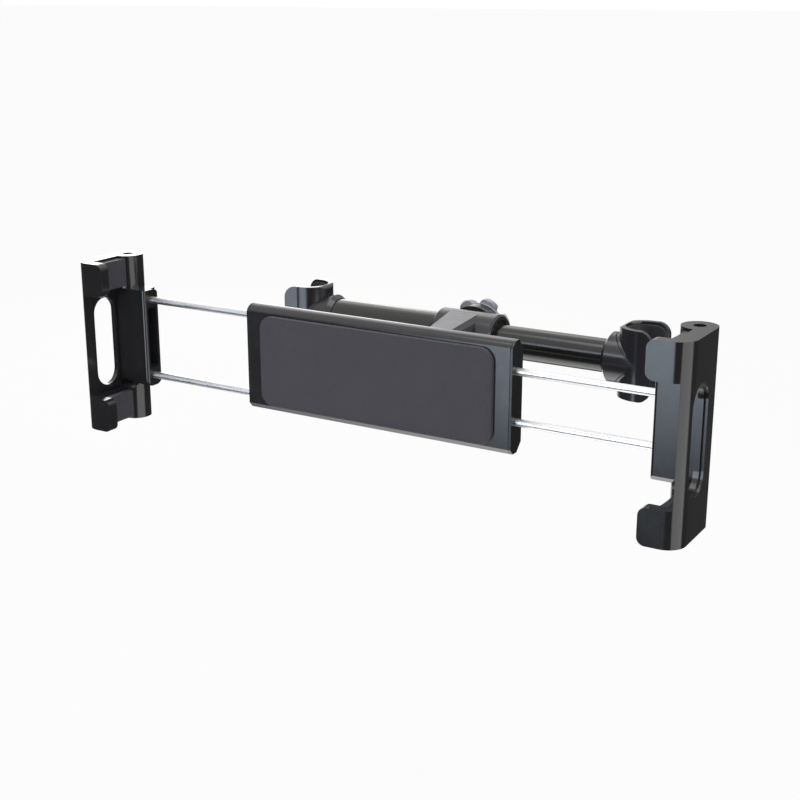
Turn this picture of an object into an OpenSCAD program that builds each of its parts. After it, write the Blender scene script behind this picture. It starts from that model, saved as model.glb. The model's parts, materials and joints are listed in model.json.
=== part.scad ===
// Headrest tablet mount: a telescopic bar that clamps between the two posts of
// a headrest, an arm with a ball joint, and a holder with two sliding grips.
// The origin is on the face of the front pad, at the middle of the holder.
// +X runs along the holder, +Y goes back to the headrest and +Z is up.

/* [Holder body] */
// Width of the holder body between its end faces
holder_w = 138; // [132:1:150]
// Height of the holder body
holder_h = 50; // [49:1:56]
// Thickness of the holder body without its pad
holder_t = 10; // [10:0.5:12]
// Wall of the front shell and of the back cover
shell_wall = 1.5; // [1.2:0.1:1.6]
// Thickness of each end cap
cap_t = 4; // [3:0.5:6]
// Thickness of the plate on each end cap, which closes the body's end
plate_t = 1.2; // [1:0.1:2]
// Radius of the rounded top front edge
crown_r = 5.4; // [5:0.2:6]
// Height of the curve's start above the middle of the holder
crown_z = 21.7; // [21:0.1:22]
// Size of the bevel along the bottom front edge
lip_bevel = 2.3; // [1.5:0.1:3]
// Bevel along the two back edges
back_bevel = 4; // [3:0.5:5]

/* [Front pad] */
// Width of the rubber pad
pad_w = 121; // [100:1:124]
// Height of the rubber pad
pad_h = 43; // [38:0.5:43.5]
// How far the pad stands out of the front face
pad_t = 2; // [1.5:0.1:3]
// Radius of the pad's corners
pad_corner_r = 6.5; // [4:0.5:10]

/* [Rods] */
// Diameter of the chrome rods
rod_d = 3.5; // [3:0.1:3.8]
// Distance between the two rods of the left grip
rod_gap_left = 38.2; // [37:0.2:38.8]
// Distance between the two rods of the right grip
rod_gap_right = 22.4; // [21:0.2:23]
// Distance from the middle to the inner end of each rod
rod_inner_x = 4; // [3:0.5:8]
// Diameter of the stop ring on each rod
stop_d = 5.4; // [5:0.1:5.6]
// Thickness of each stop ring
stop_t = 1.5; // [1:0.1:2]
// Wire of the return springs
spring_wire = 0.5; // [0.4:0.1:0.6]
// Turns of each return spring
spring_turns = 12; // [8:1:14]

/* [Grips] */
// Distance from the middle to the outer face of each grip
grip_x = 153.5; // [150:0.1:160]
// Height of a grip's top above the middle
grip_top = 40.5; // [38:0.5:46]
// Depth of a grip's bottom below the middle
grip_bottom = 42.4; // [40:0.2:48]
// Height of each jaw
jaw_h = 16; // [14:0.5:18]
// Thickness of the side wall between the jaws
grip_wall = 3.8; // [3:0.2:4.4]
// Thickness of the side wall in the jaws
jaw_wall = 7.5; // [6:0.1:8]
// Reach of each lip, from the outer face to its tip
lip_reach = 17.5; // [15:0.1:20]
// Thickness of each lip
lip_t = 5.2; // [4:0.2:5.6]
// Depth of the channel for the tablet's edge, behind the lips
channel_d = 18.8; // [14:0.2:24]
// Outer radius of the corner between the side wall and the lips
grip_edge_r = 8.4; // [6:0.2:9]
// Radius of the round post at the back
post_r = 7.4; // [7:0.1:8]
// Distance of the post's axis behind the front of the holder body
post_setback = 6.4; // [6:0.1:8]
// Corner radius of the lips
lip_corner_r = 3.5; // [2:0.25:5]
// Width of the slot through the side wall
slot_w = 14.5; // [10:0.5:15]
// Length of the slot through the side wall
slot_l = 44; // [36:1:48]
// Distance of the slot's back edge in front of the holder body
slot_edge = 1.4; // [1:0.1:3]
// Height of the slot's middle above the middle of the grip
slot_lift = -0.4; // [-2:0.1:2]
// Width of the bevel round the slot
slot_bevel = 1.4; // [0.6:0.1:2]
// Thickness of the rubber lining on the side wall of each jaw
lining_t = 4; // [3:0.2:5]
// Thickness of the rubber lining behind each lip
lining_lip_t = 1.2; // [0.8:0.1:2]
// Depth of the hollow in the lining's face
lining_hollow = 0.5; // [0.2:0.1:1]
// Radius of the hollow corner between the lining's two parts
lining_corner_r = 2.5; // [1:0.5:4]
// How far the lining stays back from the jaw's upper and lower faces
lining_inset = 1.2; // [0.6:0.1:2.5]

/* [Rod blocks] */
// Width of each rod block, from the inner face to the side wall
block_w = 18.1; // [16:0.1:20]
// Depth of each rod block
block_d = 10.5; // [10:0.5:14]
// Height of each rod block's foot above the lower jaw
block_foot = 2.1; // [1.5:0.1:3]
// Bevel under each rod block's front
block_bevel = 2.4; // [1:0.2:3]
// Corner radius at the back of each rod block's inner end
block_corner_r = 4.5; // [2:0.5:5]
// Depth of the pocket in each block's inner face
pocket_d = 6; // [3:0.5:8]
// Wall round the pocket
pocket_wall = 2.2; // [1.6:0.1:3]
// How deep each rod sits in its block
rod_depth = 12; // [8:0.5:12.5]

/* [Bar] */
// Distance of the bar's axis behind the pad's face
bar_y = 90; // [84:1:110]
// Diameter of the outer tube
outer_d = 20; // [19:0.5:21]
// Diameter of the inner tube
inner_d = 16; // [15:0.5:16.5]
// Wall of the inner tube
inner_wall = 1.5; // [1:0.1:3]
// Distance from the middle to the outer tube's open end
outer_end_x = 18; // [17.5:0.5:19]
// Distance from the middle to the inner tube's hidden end, on the left
inner_end_x = 12; // [6:1:16]

/* [Hooks] */
// Distance from the middle to the outside bottom of each hook
hook_x = 81.7; // [78:0.1:95]
// Outer radius of the hooks and of their collars
hook_r = 12; // [11.8:0.1:13]
// Wall of the hooks
hook_wall = 2.6; // [2:0.1:3]
// Thickness of the rubber lining in the hooks
hook_lining_t = 1.6; // [1:0.1:2.2]
// Height of the hooks
hook_h = 33.4; // [30:0.2:40]
// Reach of the hooks, from their outside bottom to their tips
hook_reach = 19.6; // [18:0.2:28]
// How far each flap is bent outwards at its tip
hook_flare = 1.2; // [0.4:0.2:3]
// Corner radius of the flaps
flap_r = 6; // [4:0.5:8]
// Corner radius at the bottom of the hooks
hook_edge_r = 3; // [1:0.5:4]
// Length of the straight wall before the flaps are bent
flap_bend_l = 1; // [0.5:0.5:4]
// How far the rubber lining stays back from the flaps' edges
hook_lining_inset = 1.4; // [0.6:0.1:2.5]
// Distance of each tube's end inside the bottom of its hook
tube_setback = 1.2; // [0.8:0.1:3]
// Length of each collar from its rim to the hook
collar_l = 6.5; // [6:0.1:9]
// Length of the cone at each collar's rim
collar_cone = 2.6; // [1.4:0.2:3]

/* [Arm] */
// Distance from the arm's middle to the sleeve's left rim
sleeve_left = 14.4; // [13:0.2:16]
// Distance from the arm's middle to the sleeve's right rim
sleeve_right = 18.6; // [17:0.2:19]
// Outer radius of the sleeve
sleeve_r = 12.8; // [12.5:0.1:14]
// Bevel on the sleeve's rims
sleeve_bevel = 1; // [0.5:0.1:1.5]
// Wall of the split lining inside the sleeve
sleeve_lining_t = 0.8; // [0.6:0.1:1]
// Width of the arm where it meets the sleeve
arm_rear_w = 20.4; // [16:0.2:22]
// Height of the arm where it meets the sleeve
arm_rear_h = 25.2; // [20:0.2:25.4]
// Distance of the arm's narrow front end behind the pad's face
arm_front_y = 46; // [44:1:60]
// Width of the arm's front end
arm_front_w = 12; // [11:0.2:14]
// Height of the arm's front end
arm_front_h = 14; // [11:0.2:16]
// Radius of the round boss that carries the knob
boss_r = 13.8; // [12:0.2:14.2]
// Distance from the bar's axis to the boss's back face
boss_l = 13; // [13:0.1:16]

/* [Knob] */
// Radius of the star knob over its lobes
knob_r = 16.8; // [16:0.2:20]
// How much the lobes' back ends are smaller than their fronts, on the radius
knob_taper = 1.8; // [0.5:0.1:3.5]
// Radius of each lobe
lobe_r = 4; // [3.5:0.1:4.6]
// Number of lobes
lobe_count = 7; // [5:1:8]
// Angle of the first lobe, counted from the right and seen from the front
first_lobe = 126; // [0:1:180]
// Thickness of the knob
knob_t = 6; // [5.5:0.5:12]
// Radius of the knob's front flange
knob_flange_r = 14; // [12:0.2:15]
// Thickness of the knob's front flange
knob_flange_t = 0.8; // [0.6:0.1:3]
// Diameter of the clamping screw
knob_screw_d = 6; // [5:0.5:8]
// Thickness of the shoe between the screw and the lining
shoe_t = 1.4; // [1:0.1:2]

/* [Ball joint] */
// Radius of the ball
ball_r = 8; // [7.5:0.1:8.5]
// Diameter of the ball's shank
shank_d = 9; // [7:0.5:9]
// Length of the shank's seat in the arm
shank_seat_l = 14; // [10:1:18]
// Distance of the ball's centre behind the pad's face
ball_y = 24.8; // [24.5:0.1:28]
// Thickness of each of the two spherical shells around the ball
cup_t = 1.2; // [1:0.1:1.3]
// Front opening of the shells, as a share of their radius
cup_front = 0.55; // [0.4:0.05:0.7]
// Wall of the threaded socket
socket_wall = 2.8; // [2.4:0.1:4]
// Half angle of the socket's mouth
mouth_angle = 62; // [60:1:64]
// Wall of the ring nut
ring_wall = 4; // [3:0.5:5]
// Number of grip flutes round the ring nut
ring_flutes = 16; // [10:1:24]
// Number of slots in the socket
socket_slots = 6; // [4:1:8]

/* [Screws] */
// Diameter of the small screws' threads
screw_d = 2.2; // [2:0.1:2.4]
// Diameter of the small screws' heads
screw_head_d = 4.6; // [4:0.1:5]
// Height of the small screws' heads
screw_head_t = 1.4; // [1:0.1:1.8]
// Length of the screws that hold the grips
grip_screw_l = 17; // [15:0.5:20]
// Depth of the recess over each grip screw's head
recess_d = 2.6; // [2:0.1:4]
// Distance of the outer cover screws from the body's end faces
cover_screw_inset = 13; // [11:1:18]
// Distance from the middle to the inner cover screws
cover_screw_inner_x = 31; // [24:1:40]

/* [Hidden] */
$fn = 64;

// Running clearance of a shaft or a ball in its seat, on the radius
run = 0.05;
// Gap between two pieces that are only laid or fixed together
fit = 0.02;
// Gap between pieces whose faces pass or face each other
gap = 0.3;
// Overlap used where a cut has to run past a face
past = 1;

// Holder
front_y = pad_t;
back_y = front_y + holder_t;
half_h = holder_h / 2;
half_w = holder_w / 2;
crown_cz = half_h - crown_r;
crown_cy = sqrt(crown_r * crown_r - pow(crown_z - crown_cz, 2));
lip_z = -half_h + 1.1 * lip_bevel;
split_y = front_y + 0.7 * holder_t;
rib_t = 1.2;
rod_y = front_y + holder_t / 2;
rod_r = rod_d / 2;
cap_inner_x = half_w - cap_t;
shell_x = half_w - plate_t - fit;
cover_screw_outer_x = half_w - cover_screw_inset;
cover_screw_x = [-cover_screw_outer_x, -cover_screw_inner_x,
    cover_screw_inner_x, cover_screw_outer_x];
cover_boss_r = 3.2;

// Grips
lip_y = front_y - channel_d - lip_t;
post_x = grip_x - post_r;
post_y = front_y + post_setback;
wall_x = grip_x - grip_wall;
jaw_x = grip_x - jaw_wall;
block_x = wall_x - gap - block_w;
rod_end_x = block_x + rod_depth;
jaw_z = grip_top - jaw_h;
jaw_low_z = -grip_bottom + jaw_h;
slot_y = front_y - slot_edge - slot_w / 2;
slot_z = (grip_top - grip_bottom) / 2 + slot_lift;
block_z0 = jaw_low_z + block_foot;
block_z1 = jaw_z - gap;

// Bar
outer_r = outer_d / 2;
inner_r = inner_d / 2;
hook_cx = hook_x + hook_r;
tube_end_x = hook_x - tube_setback;
collar_x = hook_x - collar_l;
hook_inner_r = hook_r - hook_wall;
post_grip_r = hook_inner_r - hook_lining_t;
hook_tip_x = hook_x + hook_reach;
flap_bend_x = hook_cx + flap_bend_l;
hook_screw_x = (collar_x + collar_cone + tube_end_x) / 2;
tube_slit = 1.6;

// Arm and knob
lining_out_r = outer_r + run + sleeve_lining_t;
sleeve_in_r = lining_out_r + run;
knob_y = bar_y + boss_l + gap;
knob_screw_r = knob_screw_d / 2;
screw_cap_t = 2;
shoe_y = bar_y + sleeve_in_r;
screw_tip_y = shoe_y + shoe_t + run;
shank_end_y = arm_front_y + shank_seat_l;

// Ball joint
liner_r = ball_r + run + cup_t;
seat_r = liner_r + run + cup_t;
socket_in_r = seat_r + run;
socket_r = socket_in_r + socket_wall;
socket_end_y = ball_y + socket_in_r * cos(mouth_angle);
ring_y0 = back_y + 3.4;
ring_y1 = socket_end_y + 1.6;

module round_box(w, h, r) {
    // A centred rectangle with true round corners
    square([w, h - 2 * r], center = true);
    square([w - 2 * r, h], center = true);
    for (i = [-1, 1], j = [-1, 1])
        translate([i * (w / 2 - r), j * (h / 2 - r)]) circle(r = r);
}

module stadium(w, l) {
    // A slot outline, w wide and l long, along its second axis
    square([w, l - w], center = true);
    for (j = [-1, 1])
        translate([0, j * (l - w) / 2]) circle(d = w);
}

module along_y(y0, y1) {
    // Extrudes an outline drawn in X and Z from y0 back to y1
    translate([0, y1, 0]) rotate([90, 0, 0]) linear_extrude(y1 - y0) children();
}

module along_x(x0, x1) {
    // Extrudes an outline drawn in Y and Z from x0 to x1
    translate([x0, 0, 0]) rotate([90, 0, 90]) linear_extrude(x1 - x0) children();
}

module along_z(z0, z1) {
    translate([0, 0, z0]) linear_extrude(z1 - z0) children();
}

module turned_y(y0) {
    // Revolves a profile of [radius, distance along Y] about a Y axis
    translate([0, y0, 0]) rotate([-90, 0, 0]) rotate_extrude() children();
}

module rod_x(x0, x1, y, z, r) {
    translate([x0, y, z]) rotate([0, 90, 0]) cylinder(h = x1 - x0, r = r);
}

module rod_along_y(x, y0, y1, z, r) {
    translate([x, y0, z]) rotate([-90, 0, 0]) cylinder(h = y1 - y0, r = r);
}

module rod_along_z(x, y, z0, z1, r) {
    translate([x, y, z0]) cylinder(h = z1 - z0, r = r);
}

module sided(side) {
    // Pieces are drawn on the right and mirrored for the left
    if (side < 0) mirror([1, 0, 0]) children();
    else children();
}

// Holder body

module half_disc(r) {
    intersection() {
        circle(r = r);
        translate([0, -r]) square([r, 2 * r]);
    }
}

module body_outline(inset = 0) {
    // The holder's section in Y and Z, with a crowned top edge in front
    w = inset;
    y0 = front_y + w;
    y1 = back_y - w;
    z1 = half_h - w;
    b = back_bevel - 0.4 * w;
    k = lip_bevel - 0.3 * w;
    difference() {
        polygon([[y0, lip_z + 0.3 * w], [y0, z1], [y1 - b, z1], [y1, z1 - b],
            [y1, b - z1], [y1 - b, -z1], [y0 + k, -z1]]);
        difference() {
            translate([y0 - past, crown_cz])
                square([front_y + crown_cy - y0 + past, crown_r + past]);
            translate([front_y + crown_cy, crown_cz]) circle(r = crown_r - w);
        }
    }
}

module behind(y) {
    translate([y, -holder_h]) square([holder_t + pad_t, 2 * holder_h]);
}

module cover_boss(x) {
    rod_along_y(x, front_y + shell_wall / 2, split_y + rib_t, 0, cover_boss_r);
}

module front_shell() {
    color([0.40, 0.42, 0.44]) difference() {
        union() {
            along_x(-shell_x, shell_x) difference() {
                body_outline();
                body_outline(shell_wall);
                behind(split_y);
            }
            for (x = cover_screw_x) cover_boss(x);
        }
        for (x = cover_screw_x)
            rod_along_y(x, split_y - 3.4, back_y, 0, screw_d / 2 - fit);
    }
}

module channel_ribs() {
    // Ribs between the four rods, which keep the springs in line
    rib_l = cap_inner_x - gap;
    inner_rib = rod_gap_right / 2 - stop_d / 2 - rib_t / 2 - gap;
    for (j = [-1, 1], z = [inner_rib, (rod_gap_left + rod_gap_right) / 4])
        translate([-rib_l, front_y + shell_wall + gap, j * z - rib_t / 2])
            cube([2 * rib_l, holder_t - 1.5 * shell_wall - gap, rib_t]);
}

module socket_shell() {
    // The socket stands on the back wall and holds the two spherical shells
    rod_along_y(0, back_y - shell_wall / 2, socket_end_y, 0, socket_r);
    rod_along_y(0, back_y - shell_wall / 2, back_y + 1.6, 0, socket_r + 2.6);
}

module back_cover() {
    slit_w = 1.4;
    slit_l = 3;
    head_sink = 0.9;
    color([0.13, 0.13, 0.14]) difference() {
        union() {
            along_x(-shell_x, shell_x) difference() {
                intersection() {
                    body_outline();
                    behind(split_y + fit);
                }
                body_outline(shell_wall);
            }
            channel_ribs();
            socket_shell();
        }
        for (x = cover_screw_x) {
            rod_along_y(x, front_y, split_y + rib_t + fit, 0, cover_boss_r + fit);
            rod_along_y(x, front_y, back_y + past, 0, screw_d / 2 + gap);
            rod_along_y(x, back_y - head_sink, back_y + past, 0, screw_head_d / 2 + fit);
        }
        turned_y(ball_y) half_disc(socket_in_r);
        turned_y(ball_y)
            square([(socket_in_r + past) * sin(mouth_angle), socket_in_r + past]);
        for (i = [0 : socket_slots - 1])
            rotate([0, i * 360 / socket_slots, 0])
                translate([-slit_w / 2, ball_y - slit_l, 0])
                    cube([slit_w, socket_in_r + past, socket_r + past]);
    }
}

module front_pad() {
    color([0.30, 0.29, 0.32]) along_y(0, pad_t - fit)
        translate([0, (crown_z + lip_z) / 2]) round_box(pad_w, pad_h, pad_corner_r);
}

module end_cap(side, rod_gap) {
    // A plug inside the two shells and a plate that closes their end
    color([0.12, 0.12, 0.12]) sided(side) difference() {
        union() {
            along_x(cap_inner_x, half_w - plate_t) body_outline(shell_wall + fit);
            along_x(half_w - plate_t, half_w) body_outline();
        }
        for (j = [-1, 1])
            rod_x(cap_inner_x - past, half_w + past, rod_y, j * rod_gap / 2, rod_r + run);
    }
}

module left_end_cap() {
    end_cap(-1, rod_gap_left);
}

module right_end_cap() {
    end_cap(1, rod_gap_right);
}

module cover_screws() {
    color([0.55, 0.55, 0.57]) for (x = cover_screw_x) {
        rod_along_y(x, split_y - 3, back_y - 0.8, 0, screw_d / 2 - 2 * fit);
        difference() {
            rod_along_y(x, back_y - 0.88, back_y - 0.88 + screw_head_t, 0, screw_head_d / 2);
            for (a = [0, 90])
                translate([x, 0, 0]) rotate([0, a, 0])
                    translate([-1.2, back_y - 0.88 + 0.6 * screw_head_t, -0.3]) cube([2.4, past, 0.6]);
        }
    }
}

function coil_ring(r, wire, pitch, a) =
    // Four corners of the wire's section at the turn angle a
    [for (c = [0 : 3])
        let (k = 45 + 90 * c, rr = r + wire / 2 * cos(k))
        [pitch * a / 360 + wire / 2 * sin(k), rr * cos(a), rr * sin(a)]];

module coil(r, wire, turns, l) {
    // A compression spring along X
    step = 45;
    pitch = (l - wire) / turns;
    n = turns * 360 / step;
    pts = [for (i = [0 : n]) each coil_ring(r, wire, pitch, i * step)];
    sides = [for (i = [0 : n - 1], c = [0 : 3], t = [0, 1])
        let (a = 4 * i + c, b = 4 * i + (c + 1) % 4)
        t == 0 ? [a, b, b + 4] : [a, b + 4, a + 4]];
    ends = [[2, 1, 0], [3, 2, 0], [4 * n, 4 * n + 1, 4 * n + 2], [4 * n, 4 * n + 2, 4 * n + 3]];
    polyhedron(pts, concat(sides, ends));
}

module springs(side, rod_gap) {
    spring_l = cap_inner_x - rod_inner_x - stop_t - 2 * gap;
    mean_r = stop_d / 2 - spring_wire;
    color([0.62, 0.62, 0.64]) sided(side) for (j = [-1, 1])
        translate([rod_inner_x + stop_t + gap + spring_wire / 2, rod_y, j * rod_gap / 2])
            coil(mean_r, spring_wire, spring_turns, spring_l);
}

module left_springs() {
    springs(-1, rod_gap_left);
}

module right_springs() {
    springs(1, rod_gap_right);
}

// Grips

module grip_plan(wall) {
    // The C of a grip: lip, round corner, side wall and round post
    corner = [grip_x - grip_edge_r, lip_y + grip_edge_r];
    translate([post_x, post_y]) circle(r = post_r);
    difference() {
        union() {
            intersection() {
                translate(corner) circle(r = grip_edge_r);
                translate([corner.x, lip_y]) square(grip_edge_r);
            }
            translate([grip_x - lip_reach, lip_y]) square([lip_reach - grip_edge_r, grip_edge_r]);
            translate(corner) square([grip_edge_r, post_y - corner.y]);
        }
        translate([grip_x - wall - 2 * lip_reach, lip_y + lip_t])
            square([2 * lip_reach, channel_d + 2 * post_setback]);
    }
}

module side_plan() {
    // What runs the whole height: the side wall with its round edges
    intersection() {
        grip_plan(grip_wall);
        translate([wall_x, lip_y]) square([grip_wall, post_y + post_r - lip_y]);
    }
}

module jaw(z0, z1) {
    // A jaw, with the corners of its lip rounded in the front view
    mid_z = (z0 + z1) / 2;
    round_y = lip_y + lip_t + 0.8;
    intersection() {
        along_z(z0, z1) grip_plan(jaw_wall);
        union() {
            along_y(lip_y - past, round_y)
                translate([grip_x, mid_z]) round_box(2 * lip_reach, z1 - z0, lip_corner_r);
            along_y(round_y, post_y + post_r + past)
                translate([grip_x, mid_z]) square([4 * lip_reach, z1 - z0], center = true);
        }
    }
}

module grip(side) {
    color([0.14, 0.14, 0.15]) sided(side) difference() {
        union() {
            jaw(jaw_z, grip_top);
            jaw(-grip_bottom, jaw_low_z);
            along_z(jaw_low_z - past, jaw_z + past) side_plan();
        }
        along_x(wall_x - past, grip_x + past)
            translate([slot_y, slot_z]) stadium(slot_w, slot_l);
        along_x(grip_x - slot_bevel, grip_x + past)
            translate([slot_y, slot_z]) stadium(slot_w + 2 * slot_bevel, slot_l + 2 * slot_bevel);
        for (z = [grip_top, -grip_bottom])
            rod_along_z(post_x, post_y, z - recess_d, z + recess_d, screw_head_d / 2 + gap);
        rod_along_z(post_x, post_y, -grip_bottom, grip_top, screw_d / 2 + gap);
    }
}

module lining_plan() {
    // Rubber behind the lip and along the side wall, up to the round post
    tip_x = grip_x - lip_reach + lining_inset;
    back_x = jaw_x - fit;
    front = lip_y + lip_t + fit;
    face_x = jaw_x - lining_t;
    face_y = lip_y + lip_t + lining_lip_t;
    r = lining_corner_r;
    hollow_l = front_y - face_y - r;
    hollow_r = (hollow_l * hollow_l / 4 + lining_hollow * lining_hollow) / (2 * lining_hollow);
    difference() {
        translate([tip_x, front]) square([back_x - tip_x, front_y - front]);
        difference() {
            translate([tip_x - past, face_y]) square([face_x - tip_x + past, channel_d]);
            translate([face_x - r, face_y]) square(r);
        }
        translate([face_x - r, face_y + r]) circle(r = r);
        translate([face_x + lining_hollow - hollow_r, front_y - hollow_l / 2]) circle(r = hollow_r);
        translate([post_x, post_y]) circle(r = post_r + fit);
    }
}

module grip_lining(side) {
    color([0.24, 0.24, 0.26]) sided(side) {
        along_z(jaw_z + lining_inset, grip_top - lining_inset) lining_plan();
        along_z(lining_inset - grip_bottom, jaw_low_z - lining_inset) lining_plan();
    }
}

module rod_block(side, rod_gap) {
    // A block with a part of the round post, which stands between the jaws
    edge_r = 1.5;
    flange_t = 2.4;
    pocket_h = rod_gap - rod_d - 2 * pocket_wall;
    color([0.13, 0.13, 0.14]) sided(side) difference() {
        intersection() {
            union() {
                along_z(block_z0, block_z1)
                    translate([block_x + block_w / 2, front_y + block_d / 2])
                        round_box(block_w, block_d, edge_r);
                rod_along_z(post_x, post_y, jaw_low_z + fit, jaw_z - fit, post_r);
            }
            union() {
                along_x(block_x, block_x + flange_t) block_section(block_corner_r);
                along_x(block_x + flange_t, block_x + block_w) block_section(0);
            }
        }
        along_x(block_x - past, block_x + pocket_d)
            translate([front_y + block_d / 2, 0])
                round_box(block_d - 2 * pocket_wall, pocket_h, pocket_wall / 2);
        for (j = [-1, 1])
            rod_x(block_x - past, rod_end_x + fit, rod_y, j * rod_gap / 2, rod_r + fit);
        rod_along_z(post_x, post_y, grip_top - recess_d - grip_screw_l - past, jaw_z,
            screw_d / 2 - fit);
        rod_along_z(post_x, post_y, jaw_low_z, -grip_bottom + recess_d + grip_screw_l + past,
            screw_d / 2 - fit);
    }
}

module block_section(r) {
    // The section in Y and Z: a bevel under the flat front and, with r, round back corners
    back = r > 0 ? block_d : block_d + 2 * post_r;
    z0 = r > 0 ? block_z0 : jaw_low_z;
    z1 = r > 0 ? block_z1 : jaw_z;
    difference() {
        translate([front_y, z0]) square([back, z1 - z0]);
        translate([front_y, block_z0]) rotate(45) square(sqrt(2) * block_bevel, center = true);
        if (r > 0) for (z = [z0, z1]) translate([front_y + back, z]) difference() {
            square([2 * r, 2 * r], center = true);
            translate([-r, z == z0 ? r : -r]) circle(r = r);
        }
    }
}

module grip_rod(side, z) {
    // A rod with a turned down inner end that carries its stop ring
    color([0.80, 0.81, 0.83]) sided(side) {
        rod_x(rod_inner_x + stop_t, rod_end_x, rod_y, z, rod_r);
        rod_x(rod_inner_x, rod_inner_x + stop_t + past, rod_y, z, rod_r - 0.5);
    }
}

module rod_stops(side, rod_gap) {
    color([0.60, 0.60, 0.62]) sided(side) for (j = [-1, 1]) difference() {
        rod_x(rod_inner_x, rod_inner_x + stop_t - fit, rod_y, j * rod_gap / 2, stop_d / 2);
        rod_x(rod_inner_x - past, rod_inner_x + stop_t + past, rod_y, j * rod_gap / 2,
            rod_r - 0.5 + fit);
    }
}

module grip_screws(side) {
    // One screw from above and one from below, in the posts' recesses
    color([0.35, 0.35, 0.37]) sided(side) for (j = [-1, 1]) {
        z_head = j > 0 ? grip_top - recess_d : recess_d - grip_bottom;
        translate([post_x, post_y, z_head]) mirror([0, 0, j > 0 ? 0 : 1]) difference() {
            union() {
                cylinder(h = screw_head_t, r = screw_head_d / 2);
                translate([0, 0, -grip_screw_l])
                    cylinder(h = grip_screw_l + fit, r = screw_d / 2 - 2 * fit);
            }
            for (a = [0, 90]) rotate([0, 0, a])
                translate([-1.2, -0.3, 0.6 * screw_head_t]) cube([2.4, 0.6, past]);
        }
    }
}

module left_grip() {
    grip(-1);
}

module right_grip() {
    grip(1);
}

module left_grip_lining() {
    grip_lining(-1);
}

module right_grip_lining() {
    grip_lining(1);
}

module left_rod_block() {
    rod_block(-1, rod_gap_left);
}

module right_rod_block() {
    rod_block(1, rod_gap_right);
}

module left_upper_rod() {
    grip_rod(-1, rod_gap_left / 2);
}

module left_lower_rod() {
    grip_rod(-1, -rod_gap_left / 2);
}

module right_upper_rod() {
    grip_rod(1, rod_gap_right / 2);
}

module right_lower_rod() {
    grip_rod(1, -rod_gap_right / 2);
}

module left_rod_stops() {
    rod_stops(-1, rod_gap_left);
}

module right_rod_stops() {
    rod_stops(1, rod_gap_right);
}

module left_grip_screws() {
    grip_screws(-1);
}

module right_grip_screws() {
    grip_screws(1);
}

// Bar with its two hooks

module tube(x0, x1, r_out, r_in) {
    turned_tube_profile = [[r_in, x0], [r_out, x0], [r_out, x1], [r_in, x1]];
    translate([0, bar_y, 0]) rotate([0, 90, 0]) rotate_extrude() polygon(turned_tube_profile);
}

module outer_tube() {
    // Slit at its open end, so that the sleeve can squeeze it on the inner tube
    color([0.30, 0.30, 0.31]) difference() {
        tube(-tube_end_x, outer_end_x, outer_r, inner_r + run);
        translate([-sleeve_left, bar_y - tube_slit / 2, -outer_r - past])
            cube([outer_end_x + sleeve_left + past, tube_slit, outer_r]);
    }
}

module inner_tube() {
    color([0.30, 0.30, 0.31]) tube(-inner_end_x, tube_end_x, inner_r, inner_r - inner_wall);
}

module hook_plan(r, tip_x) {
    // Half round bottom, straight walls and flaps that spread at the tips
    bend = flap_bend_x - hook_cx;
    tip = tip_x - hook_cx;
    spread = hook_flare * (tip_x - flap_bend_x) / (hook_tip_x - flap_bend_x);
    circle(r = r);
    translate([0, -r]) square([bend, 2 * r]);
    polygon([[bend, -r], [tip, -r - spread], [tip, r + spread], [bend, r]]);
}

module flap_outline(inset = 0) {
    // Front view of the hook, rounder at the tips than at its bottom
    l = 2 * (hook_r + hook_reach);
    h = hook_h - 2 * inset;
    intersection() {
        translate([hook_tip_x - hook_cx - inset - l / 2, 0]) round_box(l, h, flap_r - inset);
        translate([l / 2 - hook_r, 0]) round_box(l, h, hook_edge_r);
    }
}

module collar_groove() {
    // A thin groove beside each mitre line between collar and hook
    groove = 0.5;
    offset_x = 1.3;
    difference() {
        along_y(-hook_r - past, hook_r + past)
            polygon([[-offset_x, 0], [-offset_x - 2 * hook_r, 2 * hook_r],
                [-offset_x - groove - 2 * hook_r, 2 * hook_r], [-offset_x - groove, 0],
                [-offset_x - groove - 2 * hook_r, -2 * hook_r], [-offset_x - 2 * hook_r, -2 * hook_r]]);
        rotate([0, 90, 0]) cylinder(h = 4 * hook_r, r = hook_r - 0.4, center = true);
    }
}

module hook(side, tube_r) {
    head_z = -hook_r - past;
    color([0.16, 0.155, 0.18]) sided(side) translate([hook_cx, bar_y, 0]) difference() {
        union() {
            intersection() {
                along_z(-hook_h / 2, hook_h / 2) hook_plan(hook_r, hook_tip_x);
                along_y(-2 * hook_r, 2 * hook_r) flap_outline();
            }
            rotate([0, -90, 0]) cylinder(h = hook_cx - collar_x - collar_cone, r = hook_r);
            translate([collar_x - hook_cx, 0, 0]) rotate([0, 90, 0])
                cylinder(h = collar_cone + fit, r1 = tube_r + 0.4, r2 = hook_r);
        }
        along_z(-hook_h, hook_h) hook_plan(hook_inner_r, hook_tip_x + past);
        translate([collar_x - hook_cx - past, 0, 0]) rotate([0, 90, 0])
            cylinder(h = tube_end_x - collar_x + past + fit, r = tube_r + fit);
        translate([hook_screw_x - hook_cx, 0, -hook_r])
            cylinder(h = hook_r, r = screw_d / 2 + fit);
        translate([hook_screw_x - hook_cx, 0, head_z])
            cylinder(h = past + screw_head_t, r = screw_head_d / 2 + fit);
        collar_groove();
    }
}

module left_hook() {
    hook(-1, outer_r);
}

module right_hook() {
    hook(1, inner_r);
}

module hook_pad(side) {
    // The rubber lining, set back from the flaps' edges
    color([0.10, 0.10, 0.11]) sided(side) translate([hook_cx, bar_y, 0]) difference() {
        intersection() {
            along_z(-hook_h / 2, hook_h / 2) hook_plan(hook_inner_r - fit, hook_tip_x);
            along_y(-2 * hook_r, 2 * hook_r) flap_outline(hook_lining_inset);
        }
        along_z(-hook_h, hook_h) hook_plan(post_grip_r, hook_tip_x + past);
    }
}

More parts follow.
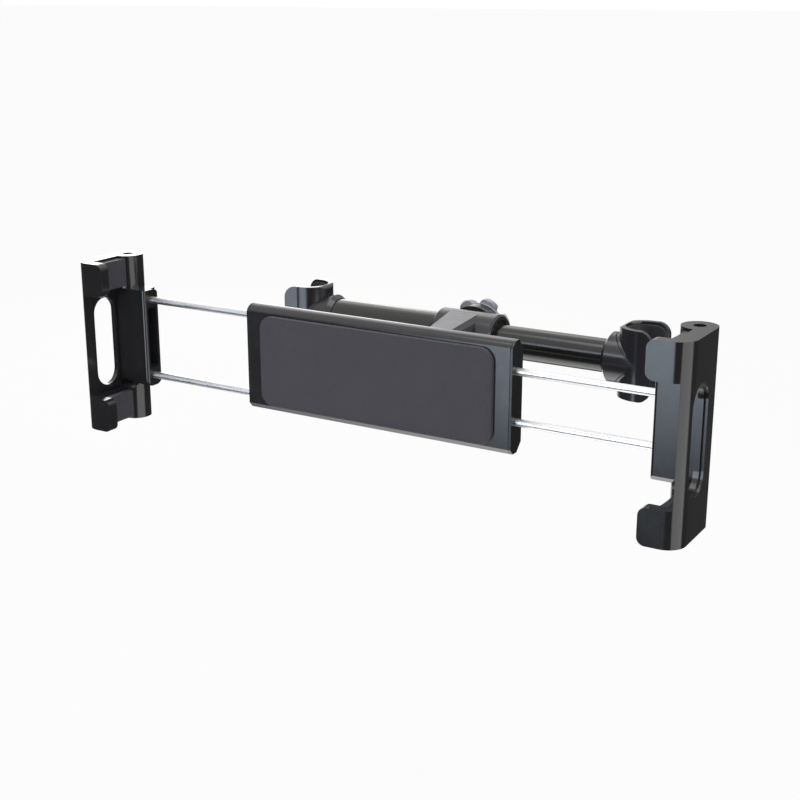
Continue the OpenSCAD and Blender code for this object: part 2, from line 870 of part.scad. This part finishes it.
module left_hook_pad() {
    hook_pad(-1);
}

module right_hook_pad() {
    hook_pad(1);
}

module hook_screw(side, tube_r) {
    // A short screw from below holds each hook on its tube
    color([0.45, 0.45, 0.47]) sided(side) translate([hook_screw_x, bar_y, 0]) {
        translate([0, 0, -hook_r + fit]) cylinder(h = screw_head_t - fit, r = screw_head_d / 2);
        translate([0, 0, -hook_r + fit]) cylinder(h = hook_r - tube_r - 2 * fit, r = screw_d / 2);
    }
}

module left_hook_screw() {
    hook_screw(-1, outer_r);
}

module right_hook_screw() {
    hook_screw(1, inner_r);
}

// Arm, ball joint and knob

module sleeve_lining() {
    // A split ring between the sleeve and the outer tube
    color([0.08, 0.08, 0.08]) difference() {
        tube(-sleeve_left, sleeve_right, lining_out_r, outer_r + run);
        translate([-2 * sleeve_left, bar_y - tube_slit / 2, -lining_out_r - past])
            cube([4 * sleeve_left, tube_slit, lining_out_r]);
    }
}

module arm_section(y, w, h) {
    // One thin slice of the tapered arm, with bevelled corners
    b = 0.12 * w;
    along_y(y, y + 0.02) polygon([[-w / 2 + b, -h / 2], [w / 2 - b, -h / 2],
        [w / 2, -h / 2 + b], [w / 2, h / 2 - b], [w / 2 - b, h / 2],
        [-w / 2 + b, h / 2], [-w / 2, h / 2 - b], [-w / 2, -h / 2 + b]]);
}

module sleeve() {
    x0 = -sleeve_left;
    x1 = sleeve_right;
    b = sleeve_bevel;
    translate([0, bar_y, 0]) rotate([0, 90, 0]) rotate_extrude()
        polygon([[0, x0], [sleeve_r - b, x0], [sleeve_r, x0 + b], [sleeve_r, x1 - b],
            [sleeve_r - b, x1], [0, x1]]);
}

module arm() {
    color([0.36, 0.36, 0.38]) difference() {
        union() {
            sleeve();
            hull() {
                arm_section(arm_front_y, arm_front_w, arm_front_h);
                arm_section(bar_y - 2, arm_rear_w, arm_rear_h);
            }
            rod_along_y(0, bar_y + sleeve_r / 2, bar_y + boss_l, 0, boss_r);
        }
        tube(-sleeve_left - past, sleeve_right + past, sleeve_in_r, 0);
        rod_along_y(0, bar_y, bar_y + boss_l + past, 0, knob_screw_r + run);
        rod_along_y(0, arm_front_y - past, shank_end_y + fit, 0, shank_d / 2 + fit);
    }
}

module ball_stud() {
    color([0.70, 0.70, 0.72]) {
        translate([0, ball_y, 0]) sphere(r = ball_r);
        rod_along_y(0, ball_y, shank_end_y, 0, shank_d / 2);
    }
}

module pressure_shoe() {
    color([0.72, 0.60, 0.34]) difference() {
        rod_along_y(0, shoe_y - 2, shoe_y + shoe_t, 0, knob_screw_r - fit);
        tube(-sleeve_left - past, sleeve_right + past, sleeve_in_r, 0);
    }
}

module star_outline() {
    // The hub with its lobes
    hub_r = knob_r - 1.25 * lobe_r;
    circle(r = hub_r);
    for (i = [0 : lobe_count - 1])
        rotate(first_lobe + i * 360 / lobe_count) {
            translate([knob_r - lobe_r, 0]) circle(r = lobe_r);
            translate([0, -lobe_r]) square([knob_r - lobe_r, 2 * lobe_r]);
        }
}

module knob() {
    // Star knob with a round flange in front and lobes that taper to the back
    flange_y = knob_y + knob_flange_t;
    back = knob_t - knob_flange_t;
    edge = 0.8;
    back_r = knob_r - knob_taper;
    color([0.45, 0.46, 0.48]) difference() {
        union() {
            rod_along_y(0, knob_y, flange_y + fit, 0, knob_flange_r);
            intersection() {
                along_y(flange_y, flange_y + back) star_outline();
                turned_y(flange_y)
                    polygon([[0, 0], [knob_r - edge, 0], [knob_r, edge], [knob_r, back / 3],
                        [back_r, back - edge], [back_r - edge, back], [0, back]]);
            }
        }
        rod_along_y(0, knob_y - past, knob_y + knob_t - screw_cap_t, 0, knob_screw_r + fit);
        rod_along_y(0, knob_y + knob_t - screw_cap_t / 2, knob_y + knob_t + past, 0,
            0.5 * knob_r);
    }
}

module knob_screw() {
    color([0.70, 0.70, 0.72]) 
        rod_along_y(0, screw_tip_y, knob_y + knob_t - screw_cap_t - fit, 0, knob_screw_r);
}

module cup(r_in, r_out) {
    // A spherical shell, open in front and behind, around the ball
    front_l = cup_front * r_out;
    turned_y(ball_y) intersection() {
        difference() {
            half_disc(r_out);
            circle(r = r_in);
        }
        translate([0, -front_l]) square([r_out, front_l + r_out * cos(mouth_angle)]);
    }
}

module ball_liner() {
    color([0.85, 0.85, 0.82]) cup(ball_r + run, liner_r);
}

module ball_seat() {
    color([0.20, 0.20, 0.21]) cup(liner_r + run, seat_r);
}

module ring_nut() {
    ring_r = socket_r + run + ring_wall;
    mouth_r = socket_in_r * sin(mouth_angle) + 0.6;
    flute_r = 1.6;
    color([0.15, 0.15, 0.16]) difference() {
        turned_y(0) polygon([[socket_r + run, ring_y0], [ring_r - 1, ring_y0], [ring_r, ring_y0 + 1],
            [ring_r, ring_y1 - 1.4], [ring_r - 1.4, ring_y1], [mouth_r, ring_y1],
            [mouth_r, socket_end_y + gap], [socket_r + run, socket_end_y + gap]]);
        for (i = [0 : ring_flutes - 1])
            rotate([0, i * 360 / ring_flutes, 0])
                rod_along_y(ring_r + 0.7, ring_y0 + 1.6, ring_y1 + past, 0, flute_r);
    }
}

outer_tube();
left_hook();
left_hook_pad();
left_hook_screw();
inner_tube();
right_hook();
right_hook_pad();
right_hook_screw();
sleeve_lining();
arm();
ball_stud();
pressure_shoe();
knob();
knob_screw();
ball_liner();
ball_seat();
ring_nut();
front_shell();
back_cover();
front_pad();
left_end_cap();
right_end_cap();
cover_screws();
left_springs();
right_springs();
left_grip();
left_grip_lining();
left_rod_block();
left_upper_rod();
left_lower_rod();
left_rod_stops();
left_grip_screws();
right_grip();
right_grip_lining();
right_rod_block();
right_upper_rod();
right_lower_rod();
right_rod_stops();
right_grip_screws();
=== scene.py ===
# %% [markdown]
# # A headrest tablet mount, dressed for its portrait
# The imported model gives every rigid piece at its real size. This lesson adds what a
# mould, a polishing wheel and a studio add: small radii on every edge, a rubber pad
# with a soft crown and a stippled skin, glossy black plastic, chrome rods, and a
# studio whose cards and dark gaps draw the shapes. Nothing is moved or resized.

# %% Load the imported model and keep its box
import json
import math

import bpy
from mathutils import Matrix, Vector

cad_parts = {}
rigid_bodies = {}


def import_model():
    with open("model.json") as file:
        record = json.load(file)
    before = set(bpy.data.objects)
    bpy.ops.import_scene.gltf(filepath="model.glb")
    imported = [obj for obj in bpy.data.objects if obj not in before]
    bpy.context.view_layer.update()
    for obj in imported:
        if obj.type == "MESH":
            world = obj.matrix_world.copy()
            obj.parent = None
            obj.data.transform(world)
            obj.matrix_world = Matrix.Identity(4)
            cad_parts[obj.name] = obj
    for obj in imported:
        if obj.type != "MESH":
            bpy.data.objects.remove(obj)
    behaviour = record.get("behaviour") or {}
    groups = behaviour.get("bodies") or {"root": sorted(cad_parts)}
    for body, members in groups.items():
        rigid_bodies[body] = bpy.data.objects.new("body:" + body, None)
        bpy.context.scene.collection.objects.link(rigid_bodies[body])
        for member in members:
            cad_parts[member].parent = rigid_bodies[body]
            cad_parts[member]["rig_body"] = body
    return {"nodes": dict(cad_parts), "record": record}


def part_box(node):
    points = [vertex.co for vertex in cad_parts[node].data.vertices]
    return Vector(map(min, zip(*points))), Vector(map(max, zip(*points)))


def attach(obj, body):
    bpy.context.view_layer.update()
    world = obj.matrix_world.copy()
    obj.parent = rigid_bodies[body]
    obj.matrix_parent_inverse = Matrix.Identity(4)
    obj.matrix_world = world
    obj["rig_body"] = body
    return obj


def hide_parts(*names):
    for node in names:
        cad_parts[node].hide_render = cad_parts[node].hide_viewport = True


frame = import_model()
nodes = frame["nodes"]
scene = bpy.context.scene
MM = 0.001
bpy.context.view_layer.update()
slot_of = {s["node"]: s["material_slot"] for s in frame["record"]["subparts"]}

# %% [markdown]
# ## The camera
# The mount is seen from its right and a little from above. A camera can be placed by
# eye, but then small sizes can't be compared. Here its angles, its place and its
# focal length come from a fit of the body's, the rods' and the tubes' edges, so a
# piece that is right also lies in the right place of the picture.

# %% Camera
AZIMUTH = 31.03
ELEVATION = 16.74
FOCAL_PX = 1367.35
FRAME_PX = 800
SENSOR_MM = 36
CAMERA_PLACE = (0.31229, -0.49333, 0.16538)

cam_data = bpy.data.cameras.new("camera")
cam_data.sensor_width = SENSOR_MM
cam_data.lens = FOCAL_PX * SENSOR_MM / FRAME_PX
cam_data.clip_start = 0.01
cam_data.clip_end = 100
camera = bpy.data.objects.new("camera", cam_data)
scene.collection.objects.link(camera)
camera.location = CAMERA_PLACE
az, el = math.radians(AZIMUTH), math.radians(ELEVATION)
forward = Vector((-math.sin(az) * math.cos(el), math.cos(az) * math.cos(el), -math.sin(el)))
camera.rotation_mode = "QUATERNION"
camera.rotation_quaternion = forward.to_track_quat("-Z", "Y")
scene.camera = camera
scene.view_settings.view_transform = "Standard"
print("lens", round(cam_data.lens, 2), "mm")

# %% [markdown]
# ## Node trees by hand
# A finish could be one flat colour, but then a piece looks like a toy. Every finish
# here is a small node tree on Object coordinates: a broad noise varies the colour, a
# middle one varies the gloss, and a fine one is the grain of the mould. A value that
# is the same all over goes straight on the shader.

# %% A new material and a colour read in a picture
def srgb(r, g, b):
    """A colour in the 0 to 255 of a picture, as a shader's linear colour."""
    return tuple(
        c / 255 / 12.92 if c <= 10 else ((c / 255 + 0.055) / 1.055) ** 2.4
        for c in (r, g, b)
    ) + (1.0,)


def tinted(colour, share):
    return tuple(c * share for c in colour[:3]) + (1.0,)


def new_finish(name):
    mat = bpy.data.materials.new(name)
    mat.use_nodes = True
    tree = mat.node_tree
    coord = tree.nodes.new("ShaderNodeTexCoord")
    return mat, tree, tree.nodes["Principled BSDF"], coord.outputs["Object"]


# %% Noise, its spread and the bump it makes
NOISE_LOW = 0.3
NOISE_HIGH = 0.7


def noise(tree, at, scale, detail=3.0, rough=0.5, stretch=None):
    """Noise in waves per metre, drawn out along the axes where stretch is small."""
    if stretch:
        mapping = tree.nodes.new("ShaderNodeMapping")
        mapping.inputs["Scale"].default_value = stretch
        tree.links.new(at, mapping.inputs["Vector"])
        at = mapping.outputs["Vector"]
    n = tree.nodes.new("ShaderNodeTexNoise")
    n.inputs["Scale"].default_value = scale
    n.inputs["Detail"].default_value = detail
    n.inputs["Roughness"].default_value = rough
    tree.links.new(at, n.inputs["Vector"])
    return n.outputs["Fac"]


def spread(tree, value, low, high):
    """Maps a noise, which stays near 0.3 to 0.7, to a range."""
    m = tree.nodes.new("ShaderNodeMapRange")
    m.inputs["From Min"].default_value = NOISE_LOW
    m.inputs["From Max"].default_value = NOISE_HIGH
    m.inputs["To Min"].default_value = low
    m.inputs["To Max"].default_value = high
    tree.links.new(value, m.inputs["Value"])
    return m.outputs["Result"]


def two_tone(tree, value, dark, light):
    ramp = tree.nodes.new("ShaderNodeValToRGB")
    ramp.color_ramp.elements[0].position = NOISE_LOW
    ramp.color_ramp.elements[1].position = NOISE_HIGH
    ramp.color_ramp.elements[0].color = dark
    ramp.color_ramp.elements[1].color = light
    tree.links.new(value, ramp.inputs["Fac"])
    return ramp.outputs["Color"]


def bump(tree, height, depth, under=None):
    """A bump with its depth in metres, laid over another one if there is one."""
    b = tree.nodes.new("ShaderNodeBump")
    b.inputs["Strength"].default_value = 1.0
    b.inputs["Distance"].default_value = depth
    tree.links.new(height, b.inputs["Height"])
    if under:
        tree.links.new(under, b.inputs["Normal"])
    return b.outputs["Normal"]


# %% [markdown]
# ## Plastics
# The grips, the body and the hooks are black ABS from a polished mould. Its mirror is
# clear but not flat: the plastic shrinks as it cools, and leaves a waviness of a few
# thousandths of a millimetre. The neck, the knob and the ring nut come from a finely
# eroded mould, so they are satin. One function makes them all, with the waviness, the
# grain and the gloss as its arguments.

# %% Moulded plastic
PLASTIC_IOR = 1.5
CLOUDS = 45
GLOSS_SPOTS = 300
SINK_WAVES = 110
MOULD_GRAIN = 2600


def moulded(name, colour, rough, wave, grain):
    """wave and grain are the depths of the waviness and of the grain, in metres."""
    mat, tree, shader, at = new_finish(name)
    shader.inputs["IOR"].default_value = PLASTIC_IOR
    broad = noise(tree, at, CLOUDS, 2)
    tree.links.new(two_tone(tree, broad, tinted(colour, 0.9), tinted(colour, 1.1)),
                   shader.inputs["Base Color"])
    middle = noise(tree, at, GLOSS_SPOTS, 4, 0.6)
    tree.links.new(spread(tree, middle, rough * 0.85, rough * 1.2), shader.inputs["Roughness"])
    soft = bump(tree, noise(tree, at, SINK_WAVES, 1), wave)
    fine = bump(tree, noise(tree, at, MOULD_GRAIN, 2), grain, soft)
    tree.links.new(fine, shader.inputs["Normal"])
    return mat


finish = {}
finish["grip_plastic"] = moulded("gloss_black_grip", srgb(41, 41, 43), 0.15, 4e-6, 3e-7)
finish["block_plastic"] = moulded("gloss_black_block", srgb(41, 41, 44), 0.15, 4e-6, 3e-7)
finish["shell_plastic"] = moulded("gloss_black_shell", srgb(44, 44, 46), 0.16, 3e-6, 3e-7)
finish["cap_plastic"] = moulded("gloss_black_cap", srgb(29, 29, 30), 0.22, 4e-6, 5e-7)
finish["hook_plastic"] = moulded("gloss_black_hook", srgb(45, 44, 49), 0.20, 4e-6, 5e-7)
finish["back_plastic"] = moulded("satin_black_back", srgb(31, 31, 33), 0.34, 3e-6, 4e-6)
finish["ring_plastic"] = moulded("satin_black_ring", srgb(31, 31, 33), 0.34, 3e-6, 4e-6)
finish["arm_plastic"] = moulded("satin_grey_arm", srgb(84, 83, 90), 0.34, 3e-6, 3e-6)
finish["knob_plastic"] = moulded("satin_silver_knob", srgb(168, 172, 180), 0.26, 3e-6, 3e-6)
finish["seat_plastic"] = moulded("dark_seat", srgb(42, 42, 44), 0.45, 3e-6, 4e-6)
finish["white_liner"] = moulded("pale_liner", srgb(205, 205, 198), 0.42, 3e-6, 3e-6)
finish["sleeve_liner"] = moulded("dark_sleeve_liner", srgb(30, 30, 31), 0.45, 3e-6, 4e-6)
print("plastics:", len(finish))

# %% [markdown]
# ## Rubber
# The front pad and the linings are matte. Their skin has a fine stipple that keeps the
# tablet from sliding. Cells from a Voronoi texture, used as a bump, give that grain
# without a single extra face, and a little sheen lifts the colour at low angles.

# %% Rubber
RUBBER_SPECULAR = 0.35
RUBBER_SHEEN = 0.06
SHEEN_ROUGH = 0.6


def rubber(name, colour, rough, stipple, cells):
    """stipple is the depth of the grain in metres, cells its count per metre."""
    mat, tree, shader, at = new_finish(name)
    shader.inputs["Specular IOR Level"].default_value = RUBBER_SPECULAR
    shader.inputs["Sheen Weight"].default_value = RUBBER_SHEEN
    shader.inputs["Sheen Roughness"].default_value = SHEEN_ROUGH
    broad = noise(tree, at, 60, 4, 0.6)
    tree.links.new(two_tone(tree, broad, tinted(colour, 0.95), tinted(colour, 1.05)),
                   shader.inputs["Base Color"])
    tree.links.new(spread(tree, noise(tree, at, 500, 3), rough - 0.06, rough + 0.06),
                   shader.inputs["Roughness"])
    cell = tree.nodes.new("ShaderNodeTexVoronoi")
    cell.inputs["Scale"].default_value = cells
    tree.links.new(at, cell.inputs["Vector"])
    tree.links.new(bump(tree, cell.outputs["Distance"], stipple), shader.inputs["Normal"])
    return mat


finish["pad_rubber"] = rubber("slate_pad_rubber", srgb(76, 73, 81), 0.72, 1.2e-5, 2400)
finish["lining_rubber"] = rubber("slate_lining_rubber", srgb(64, 63, 71), 0.50, 4e-6, 2600)
finish["hook_rubber"] = rubber("black_hook_rubber", srgb(38, 38, 40), 0.60, 8e-6, 2400)
print("plastics and rubbers:", len(finish))

# %% [markdown]
# ## Metals
# The rods are hard chrome over ground steel: a clear mirror, with marks so faint that
# they only soften it. The tubes are steel under black lacquer, so they are a dark
# plastic-like coat and not a metal to the eye. Screws and springs are zinc plated.

# %% Metals
def metal(name, colour, rough, marks, depth, metallic=1.0):
    """marks draws the noise out: a small value along an axis draws lines along it."""
    mat, tree, shader, at = new_finish(name)
    shader.inputs["Metallic"].default_value = metallic
    broad = noise(tree, at, 40, 2)
    tree.links.new(two_tone(tree, broad, tinted(colour, 0.94), tinted(colour, 1.04)),
                   shader.inputs["Base Color"])
    lines = noise(tree, at, 900, 3, 0.6, stretch=marks)
    tree.links.new(spread(tree, lines, rough * 0.8, rough * 1.2), shader.inputs["Roughness"])
    tree.links.new(bump(tree, lines, depth), shader.inputs["Normal"])
    return mat


finish["chrome"] = metal("chrome_rod", srgb(205, 204, 205), 0.36, (0.1, 1.0, 1.0), 2e-8)
finish["bar_tube"] = metal("black_lacquered_tube", srgb(32, 31, 31), 0.17, (0.15, 1.0, 1.0),
                           3e-7, 0.0)
finish["steel"] = metal("zinc_steel", srgb(190, 190, 192), 0.28, (1.0, 1.0, 1.0), 1e-6)
finish["dark_screw"] = metal("black_zinc_screw", srgb(96, 96, 98), 0.30, (1.0, 1.0, 1.0), 1e-6)
finish["brass"] = metal("brass_shoe", srgb(196, 164, 96), 0.28, (1.0, 1.0, 1.0), 1e-6)
for node, obj in nodes.items():
    obj.data.materials.clear()
    obj.data.materials.append(finish[slot_of[node]])
print("finishes:", len(finish))

# %% [markdown]
# ## Small radii on the moulded pieces
# No moulded edge is knife sharp: its small radius catches the light and draws the
# outline of a black piece. A live Bevel modifier on the CAD mesh would work on loose
# triangles and leave scars. So a copy is merged, its flat faces are dissolved to clean
# polygons, and its sharp edges are bevelled once, as in edit mode by hand. Weighted
# normals then keep the flat faces flat to the eye, and only the radii turn the light.

# %% The edge helper
MERGE = 2e-6
FLAT_DEG = 0.5
SHARP_DEG = 32
SMOOTH_DEG = 38
BEVEL_SEGMENTS = 3


def pick(obj):
    bpy.ops.object.select_all(action="DESELECT")
    obj.select_set(True)
    bpy.context.view_layer.objects.active = obj


def rounded(node, radius):
    """A copy of a CAD piece with a small radius, in millimetres, on its sharp edges."""
    source = nodes[node]
    obj = bpy.data.objects.new(node + ".finished", source.data.copy())
    scene.collection.objects.link(obj)
    pick(obj)
    bpy.ops.object.mode_set(mode="EDIT")
    bpy.ops.mesh.select_mode(type="EDGE")
    bpy.ops.mesh.select_all(action="SELECT")
    bpy.ops.mesh.remove_doubles(threshold=MERGE)
    bpy.ops.mesh.customdata_custom_splitnormals_clear()
    bpy.ops.mesh.dissolve_limited(angle_limit=math.radians(FLAT_DEG))
    bpy.ops.mesh.select_all(action="DESELECT")
    bpy.ops.mesh.edges_select_sharp(sharpness=math.radians(SHARP_DEG))
    bpy.ops.mesh.bevel(offset=radius * MM, segments=BEVEL_SEGMENTS, profile=0.5,
                       clamp_overlap=True, loop_slide=False)
    bpy.ops.object.mode_set(mode="OBJECT")
    bpy.ops.object.shade_smooth_by_angle(angle=math.radians(SMOOTH_DEG))
    weighted = obj.modifiers.new("flat faces stay flat", "WEIGHTED_NORMAL")
    weighted.keep_sharp = True
    bpy.ops.object.modifier_apply(modifier=weighted.name)
    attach(obj, source["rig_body"])
    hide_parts(node)
    print(node, "radius", radius, "mm, faces", len(obj.data.polygons))
    return obj


# %% Radii of the moulded pieces, in millimetres
RADII = {
    "left_grip": 0.45, "right_grip": 0.45,
    "left_rod_block": 0.4, "right_rod_block": 0.4,
    "left_hook": 0.4, "right_hook": 0.4,
    "left_hook_pad": 0.3, "right_hook_pad": 0.3,
    "front_shell": 0.2, "back_cover": 0.2,
    "left_end_cap": 0.25, "right_end_cap": 0.25,
    "arm": 0.4, "knob": 0.4, "ring_nut": 0.35,
    "left_grip_lining": 0.4, "right_grip_lining": 0.4,
}
dressed = {node: rounded(node, radius) for node, radius in RADII.items()}

# %% [markdown]
# ### The arm with painted shade on its sleeve
# The sleeve and the boss behind it stand in shade behind the knob, and that shade is
# painted on: the faces of the arm's copy behind the neck get the hooks' black as a
# second material, and only the neck keeps its grey.

# %% The arm's sleeve, painted black as shade
SLEEVE_Y = 78.5 * MM
arm_mesh = dressed["arm"].data
arm_mesh.materials.append(finish["hook_plastic"])
# painted shade: the faces behind the neck take the hooks' black instead of the grey
for face in arm_mesh.polygons:
    if face.center.y > SLEEVE_Y:
        face.material_index = 1
print("black faces on the arm:", sum(f.material_index for f in arm_mesh.polygons))

# %% [markdown]
# ## The front pad
# The pad is a sheet of soft rubber, pressed in a mould and glued on the front. Its
# corners are round, its rim is rolled over by half a millimetre, and its face is a
# little fuller in the middle, which a flat CAD plate can't show. It starts as a block
# of the plate's size. Two bevels and a few insets, each a little further out than the
# one before, shape it, and no face leaves the space of the plate.

# %% The block of the pad, with round corners
low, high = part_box("front_pad")
middle = [(a + b) / 2 for a, b in zip(low, high)]
pad_size = [b - a for a, b in zip(low, high)]
CORNER_R = 6.5 * MM
RIM_R = 0.55 * MM
CORNER_SEGMENTS = 14
RIM_SEGMENTS = 4
CROWN = 0.18 * MM
CROWN_WIDTHS = (0.6, 1.0, 1.5, 2.0)

bpy.ops.object.select_all(action="DESELECT")
bpy.ops.mesh.primitive_cube_add(size=1, location=middle)
pad = bpy.context.object
pad.name = "front_pad.rubber"
pad.scale = pad_size
bpy.ops.object.transform_apply(location=True, rotation=True, scale=True)


def select_edges(obj, wanted):
    """Selects the edges that wanted(a, b) accepts by their two end points."""
    bpy.ops.object.mode_set(mode="EDIT")
    bpy.ops.mesh.select_mode(type="EDGE")
    bpy.ops.mesh.select_all(action="DESELECT")
    bpy.ops.object.mode_set(mode="OBJECT")
    points = obj.data.vertices
    for edge in obj.data.edges:
        a, b = (points[i].co for i in edge.vertices)
        edge.select = wanted(a, b)
    bpy.ops.object.mode_set(mode="EDIT")


select_edges(pad, lambda a, b: abs(a.y - b.y) > pad_size[1] / 2)
bpy.ops.mesh.bevel(offset=CORNER_R, segments=CORNER_SEGMENTS, profile=0.5)
select_edges(pad, lambda a, b: max(a.y, b.y) < middle[1])
bpy.ops.mesh.bevel(offset=RIM_R, segments=RIM_SEGMENTS, profile=0.5)
print("pad", [round(s / MM, 1) for s in pad_size], "mm")

# %% The crown of its face
bpy.ops.mesh.select_all(action="DESELECT")
bpy.ops.mesh.select_mode(type="FACE")
bpy.ops.object.mode_set(mode="OBJECT")
for face in pad.data.polygons:
    face.select = face.normal.y < -0.99 and face.area > pad_size[0] * pad_size[2] / 2
bpy.ops.object.mode_set(mode="EDIT")
bpy.ops.transform.translate(value=(0, CROWN, 0))
rings = len(CROWN_WIDTHS)
for ring, width in enumerate(CROWN_WIDTHS):
    bpy.ops.mesh.inset(thickness=width * MM, depth=0)
    rise = CROWN * (1 - (ring + 1) / rings) ** 2 - CROWN * (1 - ring / rings) ** 2
    bpy.ops.transform.translate(value=(0, rise, 0))
bpy.ops.object.mode_set(mode="OBJECT")
bpy.ops.object.shade_smooth_by_angle(angle=math.radians(SMOOTH_DEG))
pad.data.materials.append(finish["pad_rubber"])
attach(pad, nodes["front_pad"]["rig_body"])
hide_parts("front_pad")
print("pad faces", len(pad.data.polygons))

# %% [markdown]
# ## The studio
# Glossy black has hardly a colour of its own: what the eye sees is the room in it. A
# product studio therefore hangs white cards where a face should be light, and leaves
# black gaps where it should be dark. The big softbox above and the one behind on the
# left are real lamps. The cards round the room are painted on the world by direction,
# and only reflections see them, so that they draw bands and don't add light.

# %% Lamps
def lamp(name, place, target, size, radiance):
    """An area lamp of width by height in metres with that radiance."""
    data = bpy.data.lights.new(name, "AREA")
    data.shape = "RECTANGLE"
    data.size, data.size_y = size
    data.energy = radiance * math.pi * size[0] * size[1]
    obj = bpy.data.objects.new(name, data)
    scene.collection.objects.link(obj)
    obj.location = place
    obj.rotation_mode = "QUATERNION"
    obj.rotation_quaternion = (Vector(target) - Vector(place)).to_track_quat("-Z", "Y")
    obj.visible_camera = False
    return obj


lamps = [
    lamp("top_softbox", (0.1, -0.15, 1.3), (0, 0, 0), (1.3, 0.9), 2.4),
    lamp("back_left_softbox", (-1.15, 1.15, 0.42), (0, 0, 0), (0.9, 0.5), 2.0),
]
print("lamps:", len(lamps))

# %% Directions in the world's node tree
world = bpy.data.worlds.new("studio")
scene.world = world
world.use_nodes = True
room = world.node_tree
coord = room.nodes.new("ShaderNodeTexCoord")
axes = room.nodes.new("ShaderNodeSeparateXYZ")
room.links.new(coord.outputs["Generated"], axes.inputs["Vector"])


def math_node(operation, a, b=None):
    """One Math node; an input is a socket or a number."""
    n = room.nodes.new("ShaderNodeMath")
    n.operation = operation
    for socket, value in zip(n.inputs, (a, b)):
        if isinstance(value, (int, float)):
            socket.default_value = value
        elif value is not None:
            room.links.new(value, socket)
    return n.outputs["Value"]


turn = math_node("ARCTAN2", axes.outputs["X"], math_node("MULTIPLY", axes.outputs["Y"], -1.0))
turn = math_node("MULTIPLY", turn, 180 / math.pi)
height = math_node("MULTIPLY", math_node("ARCSINE", axes.outputs["Z"]), 180 / math.pi)


# %% [markdown]
# ### Cards with soft edges
# A card is bright between two angles of turn and two of height, in degrees: 0 is the
# front, 90 the right, and the height is counted from the horizon. Each edge fades
# over a few degrees, as the edge of a real card does when it stands out of focus.
# The cool card in front lights the faces that look forward, the one on the right draws
# the bands down the grips' corners, and the two at the back light the tops. Then come
# the pale table below, the walls, the ceiling, and the faint light of the room itself.

# %% Cards
def fade(value, start, full):
    n = room.nodes.new("ShaderNodeMapRange")
    n.interpolation_type = "SMOOTHSTEP"
    n.inputs["From Min"].default_value = start
    n.inputs["From Max"].default_value = full
    room.links.new(value, n.inputs["Value"])
    return n.outputs["Result"]


def card(turns, heights, radiance, tint):
    """turns and heights are start, full, full and end, in degrees."""
    mask = math_node("MULTIPLY", fade(turn, *turns[:2]), fade(turn, turns[3], turns[2]))
    mask = math_node("MULTIPLY", mask, fade(height, *heights[:2]))
    mask = math_node("MULTIPLY", mask, fade(height, heights[3], heights[2]))
    mask = math_node("MULTIPLY", mask, float(radiance))
    n = room.nodes.new("ShaderNodeVectorMath")
    n.operation = "SCALE"
    n.inputs[0].default_value = tint
    room.links.new(mask, n.inputs["Scale"])
    return n.outputs["Vector"]


COOL = (0.86, 1.0, 1.16)
PLAIN = (1.0, 1.0, 0.98)
ROUND = (-181, -180, 180, 181)
cards = [
    card((-31, -27, 6, 14), (-20.5, -15, 20, 30), 4.3, COOL),
    card((46, 52, 106, 114), (-34, -24, 20, 30), 2.3, PLAIN),
    card((-163, -149, -118, -108), (-34, -26, 40, 55), 1.2, PLAIN),
    card((-146, -140, -126, -118), (-2, 5, 16, 22), 1.6, PLAIN),
    card(ROUND, (-91, -90, -64, -45), 2.4, PLAIN),
    card(ROUND, (2, 12, 26, 34), 0.45, PLAIN),
    card(ROUND, (26, 34, 90, 91), 1.1, PLAIN),
    card(ROUND, (-91, -90, 90, 91), 0.07, PLAIN),
]
print("cards:", len(cards))


# %% What each kind of ray sees
def mixed(a, b, share):
    n = room.nodes.new("ShaderNodeMix")
    n.data_type = "RGBA"
    room.links.new(share, n.inputs["Factor"])
    for socket, value in ((n.inputs[6], a), (n.inputs[7], b)):
        if isinstance(value, tuple):
            socket.default_value = value
        else:
            room.links.new(value, socket)
    return n.outputs[2]


painted = cards[0]
for more in cards[1:]:
    n = room.nodes.new("ShaderNodeVectorMath")
    n.operation = "ADD"
    room.links.new(painted, n.inputs[0])
    room.links.new(more, n.inputs[1])
    painted = n.outputs["Vector"]
path = room.nodes.new("ShaderNodeLightPath")
FILL = (0.5, 0.5, 0.5, 1.0)
WHITE = (1.0, 1.0, 1.0, 1.0)
seen = mixed(FILL, painted, path.outputs["Is Glossy Ray"])
seen = mixed(seen, WHITE, path.outputs["Is Camera Ray"])
room.links.new(seen, room.nodes["Background"].inputs["Color"])
print("world nodes:", len(room.nodes))

# %% [markdown]
# ### The floor
# The floor is plain and pale, wide enough for its edge to stay out of the picture.
# The camera sees it almost white of itself, so no lamp has to burn it out, and the
# share that is left still carries the mount's soft shadow. Reflections see the cards.

# %% Floor
FLOOR_Z = -0.30
GLOW_SHARE = 0.92
bpy.ops.object.select_all(action="DESELECT")
bpy.ops.mesh.primitive_plane_add(size=60, location=(0, 0, FLOOR_Z))
floor = bpy.context.object
floor.name = "studio_floor"
floor.visible_glossy = False
mat, tree, shader, at = new_finish("white_floor")
shader.inputs["Roughness"].default_value = 0.9
tree.links.new(two_tone(tree, noise(tree, at, 3, 2), (0.84, 0.84, 0.84, 1), (0.88, 0.88, 0.88, 1)),
               shader.inputs["Base Color"])
glow = tree.nodes.new("ShaderNodeEmission")
ray = tree.nodes.new("ShaderNodeLightPath")
share = tree.nodes.new("ShaderNodeMath")
share.operation = "MULTIPLY"
share.inputs[1].default_value = GLOW_SHARE
tree.links.new(ray.outputs["Is Camera Ray"], share.inputs[0])
blend = tree.nodes.new("ShaderNodeMixShader")
tree.links.new(share.outputs["Value"], blend.inputs["Fac"])
tree.links.new(shader.outputs["BSDF"], blend.inputs[1])
tree.links.new(glow.outputs["Emission"], blend.inputs[2])
tree.links.new(blend.outputs["Shader"], tree.nodes["Material Output"].inputs["Surface"])
floor.data.materials.append(mat)
print("floor at", FLOOR_Z)
